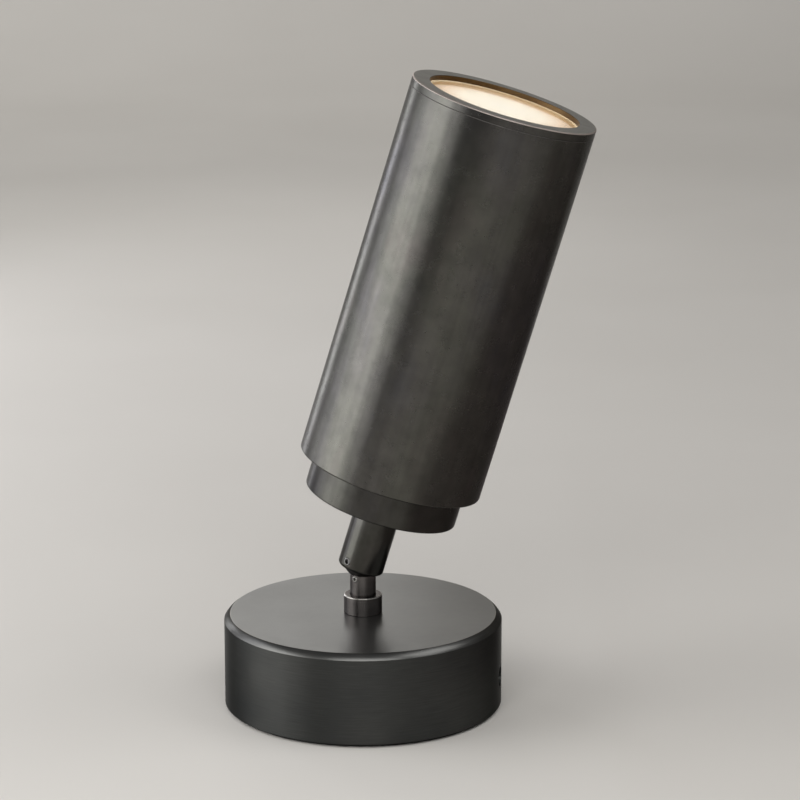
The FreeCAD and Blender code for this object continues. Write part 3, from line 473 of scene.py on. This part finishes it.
def moulded(name, dark, light, roughness, cloud=300.0, metallic=0.0):
    """Rubber, moulded plastic or plain metal: slightly uneven colour, fine surface texture."""
    material, nodes, links, shader = new_material(name, light, roughness, metallic)
    grains = noise(nodes, links, cloud, detail=5.0)
    links.new(mottle(nodes, links, grains, dark, light), shader.inputs["Base Color"])
    fine = noise(nodes, links, cloud * 9, detail=2.0)
    dull = min(roughness * 1.15, 1.0)
    links.new(spread(nodes, links, grains, roughness * 0.85, dull), shader.inputs["Roughness"])
    roughen(nodes, links, shader, fine, MOULDED_DEPTH)
    return material


black_rubber = moulded("black_rubber", (0.012, 0.012, 0.012), (0.028, 0.027, 0.026), 0.75)
zinc = moulded("zinc_plate", (0.30, 0.30, 0.31), (0.46, 0.46, 0.45), 0.36, cloud=500.0, metallic=1.0)
dress("foot_pad", black_rubber)
dress("base_plate", moulded("black_paint", (0.02, 0.02, 0.02), (0.04, 0.04, 0.04), 0.5))
dress("plate_screws", zinc)

# Cord bush: a soft bush of black rubber that keeps the cord off the steel. It is pushed into the
# hole low on the right, with its end sunk in the wall.
dress("cord_bush", black_rubber)

# Push switch: a black moulded switch on the rear flat, held by a plated nut inside. Its button
# stands on a small spring wound from wire.
SPRING_WIRE_RADIUS = 0.35 * MM
SPRING_TURNS = 4
STEPS_A_TURN = 32
WIRE_SIDES = 10
black_moulding = moulded("black_moulding", (0.015, 0.015, 0.016), (0.035, 0.035, 0.036), 0.45)
dress("switch_body", black_moulding)
dress("switch_button", moulded("button_moulding", (0.02, 0.02, 0.022), (0.045, 0.045, 0.05), 0.25))
dress("switch_nut", zinc)
spring_low, spring_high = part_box("switch_spring")
spring_middle = (Vector(spring_low) + Vector(spring_high)) / 2
coil_radius = (spring_high[0] - spring_low[0]) / 2 - SPRING_WIRE_RADIUS
coil_climb = spring_high[1] - spring_low[1] - 2 * SPRING_WIRE_RADIUS
work = bmesh.new()
rings = []
for step in range(SPRING_TURNS * STEPS_A_TURN + 1):
    turn = 2 * math.pi * step / STEPS_A_TURN
    outwards = Vector((math.cos(turn), 0.0, math.sin(turn)))
    wire_centre = spring_middle + outwards * coil_radius
    wire_centre.y = spring_low[1] + SPRING_WIRE_RADIUS + coil_climb * step / (SPRING_TURNS * STEPS_A_TURN)
    ring = []
    for side in range(WIRE_SIDES):
        around = 2 * math.pi * side / WIRE_SIDES
        across = outwards * math.cos(around) + Vector((0.0, math.sin(around), 0.0))
        ring.append(work.verts.new(wire_centre + across * SPRING_WIRE_RADIUS))
    rings.append(ring)
for ring, following in zip(rings, rings[1:]):
    for side in range(WIRE_SIDES):
        beside = (side + 1) % WIRE_SIDES
        work.faces.new((ring[side], ring[beside], following[beside], following[side]))
work.faces.new(rings[0])
work.faces.new(rings[-1])
bmesh.ops.recalc_face_normals(work, faces=work.faces)
spring_mesh = bpy.data.meshes.new("switch_spring_wound")
work.to_mesh(spring_mesh)
work.free()
spring_mesh.shade_smooth()
spring_mesh.materials.append(zinc)
switch_spring = bpy.data.objects.new("switch_spring_wound", spring_mesh)
bpy.context.scene.collection.objects.link(switch_spring)
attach(switch_spring, "base")
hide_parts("switch_spring")
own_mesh(switch_spring)

# Inside the base: a cast iron ring for weight, screwed up under the top, the supply in its pale
# moulded box on the closing plate, the block where the leads are joined, and the collar's nut.
cast_iron = moulded("cast_iron", (0.05, 0.05, 0.05), (0.12, 0.115, 0.11), 0.7, cloud=220.0, metallic=1.0)
pale_moulding = moulded("pale_moulding", (0.62, 0.60, 0.54), (0.74, 0.72, 0.66), 0.5)
dress("ballast_weight", cast_iron)
dress("ballast_screws", zinc)
dress("driver_box", pale_moulding)
dress("driver_screws", zinc)
dress("terminal_block", pale_moulding)
dress("collar_nut", zinc)

# Collar: a short ring turned from bar, dark polished, screwed through the base's top.
# Its upper rim is rubbed bright, partly wear and partly a painted highlight.
COLLAR_RADIUS = 7.85
COLLAR_TOP = 46.9
COLLAR_SEAT_ROUNDING = 0.3
COLLAR_RIM_ROUNDING = 0.5
COLLAR_MOUTH_RADIUS = 5.35
COLLAR_MOUTH_ROUNDING = 0.15
COLLAR_MOUTH_FLOOR = 42.0
COLLAR_SHANK_RADIUS = 6.5
COLLAR_SHANK_END = 26.0
COLLAR_BORE_RADIUS = 4.55
polished_dark = metal("dark_polish", (0.118, 0.108, 0.104), (0.155, 0.144, 0.139), (0.21, 0.27),
                      cloud=200.0, stretch=(150, 150, 3000), grain=0.15, tint=0.5, brushed=0.5)
collar = turned("collar_turned", [
    (COLLAR_BORE_RADIUS, COLLAR_SHANK_END), (COLLAR_SHANK_RADIUS, COLLAR_SHANK_END),
    (COLLAR_SHANK_RADIUS, BASE_HEIGHT), (COLLAR_RADIUS, BASE_HEIGHT, COLLAR_SEAT_ROUNDING),
    (COLLAR_RADIUS, COLLAR_TOP, COLLAR_RIM_ROUNDING, "rubbed_and_highlit"),
    (COLLAR_MOUTH_RADIUS, COLLAR_TOP, COLLAR_MOUTH_ROUNDING),
    (COLLAR_MOUTH_RADIUS, COLLAR_MOUTH_FLOOR), (COLLAR_BORE_RADIUS, COLLAR_MOUTH_FLOOR)], segments=128)
coat(collar, polished_dark, worn_edge_and_highlight)
smooth(collar)
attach(collar, "base")
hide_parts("collar")

# Stem: a plain pipe that turns in the collar, with its drag washer and nut below and the swivel's
# ball on top. A small grub screw near its top grips the ball's shank.
STEM_RADIUS = 5.3
STEM_TOP = 55.508
STEM_TOP_ROUNDING = 0.1
STEM_SHOULDER = 42.05
STEM_SHANK_RADIUS = 4.5
STEM_SHANK_END = 20.0
STEM_BORE_RADIUS = 2.6
BALL_SOCKET_RADIUS = 3.35
BALL_SOCKET_FLOOR = 44.5
STEM_SCREW_AZIMUTH = -129
STEM_SCREW_HEIGHT = 54.1
STEM_SCREW_RADIUS = 1.25
STEM_DRILLED_FROM = 52.6
STEM_DRILL_LENGTH = 8
stem = turned("stem_turned", [
    (STEM_BORE_RADIUS, STEM_SHANK_END), (STEM_SHANK_RADIUS, STEM_SHANK_END),
    (STEM_SHANK_RADIUS, STEM_SHOULDER), (STEM_RADIUS, STEM_SHOULDER), (STEM_RADIUS, STEM_DRILLED_FROM),
    (STEM_RADIUS, STEM_TOP, STEM_TOP_ROUNDING), (BALL_SOCKET_RADIUS, STEM_TOP),
    (BALL_SOCKET_RADIUS, STEM_DRILLED_FROM), (BALL_SOCKET_RADIUS, BALL_SOCKET_FLOOR),
    (STEM_BORE_RADIUS, BALL_SOCKET_FLOOR)], segments=128)
coat(stem, polished_dark)
cut(stem, (0, 0, STEM_SCREW_HEIGHT), towards(STEM_SCREW_AZIMUTH), STEM_SCREW_RADIUS, STEM_DRILL_LENGTH)
smooth(stem)
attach(stem, "stem")
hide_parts("stem")
worn_steel = moulded("worn_steel", (0.24, 0.235, 0.225), (0.34, 0.33, 0.31), 0.38, cloud=900.0, metallic=1.0)
dress("stem_screw", worn_steel)
dress("pan_washer", zinc)
dress("stem_nut", zinc)
dress("swivel_ball", polished_dark)

# Knuckle: a plain cylinder with a spherical seat for the ball at its mouth, in a darker copy of the
# head's patina, that darkness being painted shade, with a grub screw that locks the ball. Inside,
# springs press a brass seat on the ball, and a brass nipple and nut hold the knuckle to the cap.
# Heights are from the ball's centre.
BALL_HEIGHT = 61.5
LEAN = math.radians(16.65)
LEAN_AZIMUTH = math.radians(-5.2)
KNUCKLE_RADIUS = 9.5
KNUCKLE_BORE_RADIUS = 8.05
KNUCKLE_TOP = 25.5
SEAT_TOP = 1.5
SEAT_END_ANGLE = -18.84
MOUTH_ROUNDING = 1.5
MOUTH_HEIGHT = -2.5
MOUTH_START_ANGLE = -66.3
LOCK_SCREW_AZIMUTH = -133
LOCK_SCREW_HEIGHT = -0.6
LOCK_SCREW_RADIUS = 1.7
KNUCKLE_DRILL_LENGTH = 12
HUE_STOPS = [(0.30, (0.93, 0.94, 1.04)), (0.44, (1.02, 1.00, 0.99)), (0.56, (1.01, 1.02, 0.95)),
             (0.70, (1.08, 1.01, 0.98))]
lean_axis = Vector((-math.sin(LEAN_AZIMUTH), math.cos(LEAN_AZIMUTH), 0))
head_place = Matrix.Translation((0, 0, BALL_HEIGHT * MM)) @ Matrix.Rotation(LEAN, 4, lean_axis)


def on_head(piece, node):
    """Sets a piece made upright about the ball's centre onto the leaning head."""
    piece.matrix_world = head_place
    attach(piece, "head")
    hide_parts(node)


def patina(name, dark, light, roughness):
    """Mottled bronze patina: soft patches that drift in hue, fine mottling and faint long streaks."""
    material = metal(name, dark, light, roughness, cloud=110.0, stretch=(420, 420, 14), grain=0.14,
                     tint=0.5, bump_height=0.000008, grit=0.62)
    nodes = material.node_tree.nodes
    links = material.node_tree.links
    shader = nodes["Principled BSDF"]
    patches = noise(nodes, links, 30.0, detail=5.0, stretch=(1, 1, 0.45), grit=0.6)
    mottled = shader.inputs["Base Color"].links[0].from_socket
    tinted(nodes, links, mottled, ramp(nodes, links, patches, HUE_STOPS), 1.0, shader)
    return material


# Painted shade: the head's patina made darker for the knuckle.
knuckle_patina_painted_shade = patina("knuckle_patina_painted_shade", (0.045, 0.044, 0.042), (0.062, 0.061, 0.059), (0.15, 0.20))
mouth = bend((KNUCKLE_RADIUS - MOUTH_ROUNDING, MOUTH_HEIGHT), MOUTH_ROUNDING, MOUTH_START_ANGLE, 0)
sides = [(KNUCKLE_RADIUS, SEAT_TOP), (KNUCKLE_RADIUS, KNUCKLE_TOP),
         (KNUCKLE_BORE_RADIUS, KNUCKLE_TOP), (KNUCKLE_BORE_RADIUS, SEAT_TOP)]
seat = bend((0, 0), KNUCKLE_BORE_RADIUS, 0, SEAT_END_ANGLE, steps=8)
knuckle = turned("knuckle_turned", mouth + sides + seat, segments=192)
coat(knuckle, knuckle_patina_painted_shade)
cut(knuckle, (0, 0, LOCK_SCREW_HEIGHT), towards(LOCK_SCREW_AZIMUTH), LOCK_SCREW_RADIUS, KNUCKLE_DRILL_LENGTH)
smooth(knuckle)
on_head(knuckle, "knuckle")
black_oxide = moulded("black_oxide", (0.09, 0.09, 0.09), (0.14, 0.136, 0.132), 0.42,
                      cloud=900.0, metallic=1.0)
brass = moulded("brass", (0.50, 0.38, 0.17), (0.64, 0.50, 0.25), 0.3, cloud=400.0, metallic=1.0)
dress("lock_screw", black_oxide)
dress("ball_seat", brass)
dress("seat_springs", zinc)
dress("knuckle_nipple", brass)
dress("nipple_nut", brass)

# Rear cap: the smaller stepped cup at the head's lower end, turned from aluminium and finished in
# a darker copy of the head's patina, that darkness being painted shade. It is screwed into the tube.
CAP_RADIUS = 31.7
CAP_EDGE_ROUNDING = 0.6
CAP_FLOOR = 28.5
CAP_SPIGOT_RADIUS = 30.5
CAP_SPIGOT_END = 48.0
CAP_INSIDE_RADIUS = 28.0
NIPPLE_HOLE_RADIUS = 5.05
TUBE_START = 39.5
# Painted shade: the head's patina made darker for the cap.
cap_patina_painted_shade = patina("cap_patina_painted_shade", (0.045, 0.044, 0.042), (0.064, 0.063, 0.060), (0.22, 0.28))
rear_cap = turned("rear_cap_turned", [
    (NIPPLE_HOLE_RADIUS, KNUCKLE_TOP), (CAP_RADIUS, KNUCKLE_TOP, CAP_EDGE_ROUNDING),
    (CAP_RADIUS, TUBE_START), (CAP_SPIGOT_RADIUS, TUBE_START), (CAP_SPIGOT_RADIUS, CAP_SPIGOT_END),
    (CAP_INSIDE_RADIUS, CAP_SPIGOT_END), (CAP_INSIDE_RADIUS, CAP_FLOOR), (NIPPLE_HOLE_RADIUS, CAP_FLOOR)])
coat(rear_cap, cap_patina_painted_shade)
smooth(rear_cap)
on_head(rear_cap, "rear_cap")

# Head tube: the long large tube, turned from aluminium and finished in mottled dark bronze.
# Its front edge, a little rubbed and brightened as a painted highlight, meets the ring's in a fine
# seam. A ledge inside takes the fins.
TUBE_RADIUS = 38.0
TUBE_END = 195.3
TUBE_REAR_ROUNDING = 0.6
SEAM_ROUNDING = 0.18
TUBE_BORE_RADIUS = 35.5
LEDGE_RADIUS = 29.5
LEDGE_REAR = 90.0
LEDGE_FRONT = 95.0
CAP_HOLE_RADIUS = 30.55
TUBE_REAR_WALL = 43.0
head_patina = patina("bronze_patina", (0.071, 0.070, 0.067), (0.094, 0.092, 0.088), (0.23, 0.29))
# The front edge's brighter finish: slight wear and a painted highlight.
seam_edge_highlight = metal("seam_edge_highlight", (0.12, 0.112, 0.105), (0.15, 0.14, 0.132), (0.40, 0.46), cloud=40.0)
head_tube = turned("head_tube_turned", [
    (CAP_HOLE_RADIUS, TUBE_START), (TUBE_RADIUS, TUBE_START, TUBE_REAR_ROUNDING),
    (TUBE_RADIUS, TUBE_END, SEAM_ROUNDING, "rubbed_and_highlit"), (TUBE_BORE_RADIUS, TUBE_END),
    (TUBE_BORE_RADIUS, LEDGE_FRONT), (LEDGE_RADIUS, LEDGE_FRONT), (LEDGE_RADIUS, LEDGE_REAR),
    (TUBE_BORE_RADIUS, LEDGE_REAR), (TUBE_BORE_RADIUS, TUBE_REAR_WALL),
    (CAP_HOLE_RADIUS, TUBE_REAR_WALL)], segments=320)
coat(head_tube, head_patina, seam_edge_highlight)
smooth(head_tube)
on_head(head_tube, "head_tube")

# Light source: fins and core of aluminium on the tube's inner ledge, a white board and its yellow
# source, and a bright spun reflector that opens towards the glass. A black ring holds the reflector
# and a silicone gasket backs the diffuser.
bare_aluminium = moulded("bare_aluminium", (0.52, 0.52, 0.53), (0.66, 0.66, 0.66), 0.35,
                         cloud=500.0, metallic=1.0)
spun_aluminium = moulded("spun_aluminium", (0.8, 0.8, 0.8), (0.9, 0.9, 0.9), 0.15,
                         cloud=500.0, metallic=1.0)
dress("heat_sink", bare_aluminium)
dress("heat_sink_screws", zinc)
dress("led_board", moulded("white_mask", (0.72, 0.72, 0.72), (0.8, 0.8, 0.8), 0.4))
dress("board_screws", zinc)
dress("led_emitter", moulded("phosphor", (0.75, 0.58, 0.12), (0.85, 0.68, 0.2), 0.45, cloud=2500.0))
dress("reflector", spun_aluminium)
dress("retaining_ring", black_oxide)
dress("lens_gasket", moulded("silicone", (0.55, 0.48, 0.38), (0.66, 0.58, 0.47), 0.6))

# Diffuser: an opal disc that glows warm white in the middle; the duller tan band towards the rim is
# painted shade in its glow, and a brighter lip glows at the ring's edge. It is held between the
# gasket and the glass.
DISC_RADIUS = 34.0
DISC_ROUNDING = 0.2
DIFFUSER_REAR = 193.1
DIFFUSER_FRONT = 194.9
GLOW_AND_PAINTED_SHADE_STOPS = [(0.0, (1.0, 0.92, 0.78)), (0.5, (1.0, 0.88, 0.70)), (0.70, (0.81, 0.56, 0.36)),
              (0.80, (0.50, 0.29, 0.12)), (0.875, (0.38, 0.20, 0.05)), (0.895, (1.0, 0.78, 0.50)),
              (1.0, (1.0, 0.78, 0.50))]
GLOW_STRENGTH = 1.45
opal, nodes, links, shader = new_material("opal_glow", (0.7, 0.64, 0.54), 0.45)
place = nodes.new("ShaderNodeTexCoord")
flatten = nodes.new("ShaderNodeMapping")
flatten.inputs["Scale"].default_value = (1, 1, 0)
reach = nodes.new("ShaderNodeVectorMath")
reach.operation = "LENGTH"
links.new(place.outputs["Object"], flatten.inputs["Vector"])
links.new(flatten.outputs["Vector"], reach.inputs[0])
from_middle = spread(nodes, links, reach.outputs["Value"], 0.0, 1.0, 0.0, DISC_RADIUS * MM)
links.new(ramp(nodes, links, from_middle, GLOW_AND_PAINTED_SHADE_STOPS), shader.inputs["Emission Color"])
shader.inputs["Emission Strength"].default_value = GLOW_STRENGTH
diffuser = turned("diffuser_disc", [
    (0, DIFFUSER_REAR), (DISC_RADIUS, DIFFUSER_REAR, DISC_ROUNDING), (DISC_RADIUS, DIFFUSER_FRONT),
    (0, DIFFUSER_FRONT)], segments=192)
coat(diffuser, opal)
smooth(diffuser)
on_head(diffuser, "diffuser")

# Lens glass: a clear disc just inside the front ring, its edges ground. The ring presses it
# onto the diffuser.
LENS_REAR = 194.95
LENS_FRONT = 196.7
clear_glass, nodes, links, shader = new_material("clear_glass", (0.97, 0.98, 0.97), 0.02)
shader.inputs["Transmission Weight"].default_value = 1.0
shader.inputs["IOR"].default_value = 1.5
dust = noise(nodes, links, 120.0, detail=4.0)
links.new(spread(nodes, links, dust, 0.01, 0.06), shader.inputs["Roughness"])
lens = turned("lens_disc", [
    (0, LENS_REAR), (DISC_RADIUS, LENS_REAR, DISC_ROUNDING), (DISC_RADIUS, LENS_FRONT, DISC_ROUNDING),
    (0, LENS_FRONT)], segments=192)
coat(lens, clear_glass)
smooth(lens)
on_head(lens, "lens_glass")

# Front ring: screwed into the tube over the glass. Its side is finished as the tube, its face is
# satin, its hole's wall is lit warm by the disc and also painted warm brown as that glow, and the
# narrow outer bevel is rubbed bright, partly wear and partly a painted highlight.
RING_FRONT = 198.7
RING_OPENING = 30.9
RING_OPENING_ROUNDING = 0.2
RING_BEVEL = 0.5
RING_BORE_RADIUS = 34.2
RING_THREAD_RADIUS = 35.4
RING_THREAD_END = 187.0
FACE_FINISH = 2
HOLE_PAINTED_GLOW_FINISH = 3
ring_face = metal("ring_face", (0.165, 0.165, 0.155), (0.205, 0.205, 0.193), (0.30, 0.36),
                  cloud=90.0, grain=0.08)
# The hole wall's warm brown is a painted glow from the disc, over the disc's real light.
painted_glow_wall = metal("hole_wall_painted_glow", (0.13, 0.084, 0.040), (0.165, 0.105, 0.052), (0.40, 0.46),
                 cloud=90.0, grain=0.05)
# The outer bevel: rubbed bright, and brighter still as a painted highlight.
rubbed_rim_and_highlight = metal("rubbed_rim_and_highlight", (0.38, 0.330, 0.300), (0.46, 0.405, 0.370), (0.48, 0.56), cloud=60.0)
front_ring = turned("front_ring_turned", [
    (RING_OPENING, LENS_FRONT), (RING_OPENING, RING_FRONT, RING_OPENING_ROUNDING),
    (TUBE_RADIUS, RING_FRONT, RING_BEVEL, "rubbed_and_highlit"), (TUBE_RADIUS, TUBE_END, SEAM_ROUNDING),
    (RING_THREAD_RADIUS, TUBE_END), (RING_THREAD_RADIUS, RING_THREAD_END),
    (RING_BORE_RADIUS, RING_THREAD_END), (RING_BORE_RADIUS, LENS_FRONT)], segments=320)
coat(front_ring, head_patina, rubbed_rim_and_highlight, ring_face, painted_glow_wall)
for face in front_ring.data.polygons:
    if on_top(face, RING_FRONT):
        face.material_index = FACE_FINISH
    elif face.center.z > (LENS_FRONT + 0.1) * MM and face.center.xy.length < (RING_OPENING + 0.1) * MM:
        face.material_index = HOLE_PAINTED_GLOW_FINISH
smooth(front_ring)
on_head(front_ring, "front_ring")
